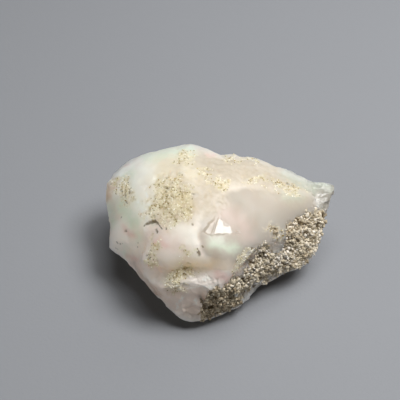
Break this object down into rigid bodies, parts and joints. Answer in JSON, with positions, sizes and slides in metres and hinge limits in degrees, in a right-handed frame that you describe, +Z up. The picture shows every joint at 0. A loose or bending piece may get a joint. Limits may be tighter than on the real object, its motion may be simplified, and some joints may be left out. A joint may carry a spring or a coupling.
{
  "type": "rough opal specimen",
  "caption": "Rough milky opal nodule with a rounded hump, a curved fresh break, a ledge under it and grainy crusts of host rock, lying on a flat broken face.",
  "frame": {"origin": "on the ground under the middle of the stone's bounding box", "axes": "+X along the longest extent towards the thin pale tip, +Z up, -Y towards the front, where the ledge and the crusted flank are"},
  "size_m": [0.0366, 0.0276, 0.0186],
  "materials": {
    "milky_opal": "waxy to glassy milky opal, with dull beige grains of host rock on parts of its skin"
  },
  "bodies": {
    "root": {"opal_nodule": "milky_opal"}
  },
  "joints": []
}
